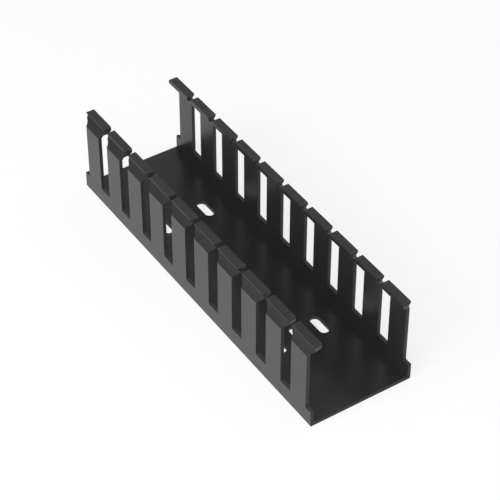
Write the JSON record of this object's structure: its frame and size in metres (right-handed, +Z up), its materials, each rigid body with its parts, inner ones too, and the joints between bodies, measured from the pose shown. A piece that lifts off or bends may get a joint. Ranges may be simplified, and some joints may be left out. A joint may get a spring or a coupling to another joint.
{
  "type": "slotted wire duct",
  "caption": "Open-topped slotted wire duct: a straight channel with slotted side walls of upright fingers, rails for a clip-on cover and fixing slots in the base.",
  "frame": {"origin": "centre of the underside of the base", "axes": "+X along the duct, +Y across it, +Z up out of the open top"},
  "size_m": [0.2, 0.0556, 0.0482],
  "materials": {
    "duct_channel": "satin black extruded rigid PVC"
  },
  "bodies": {
    "root": {"duct_channel": "duct_channel"}
  },
  "joints": []
}
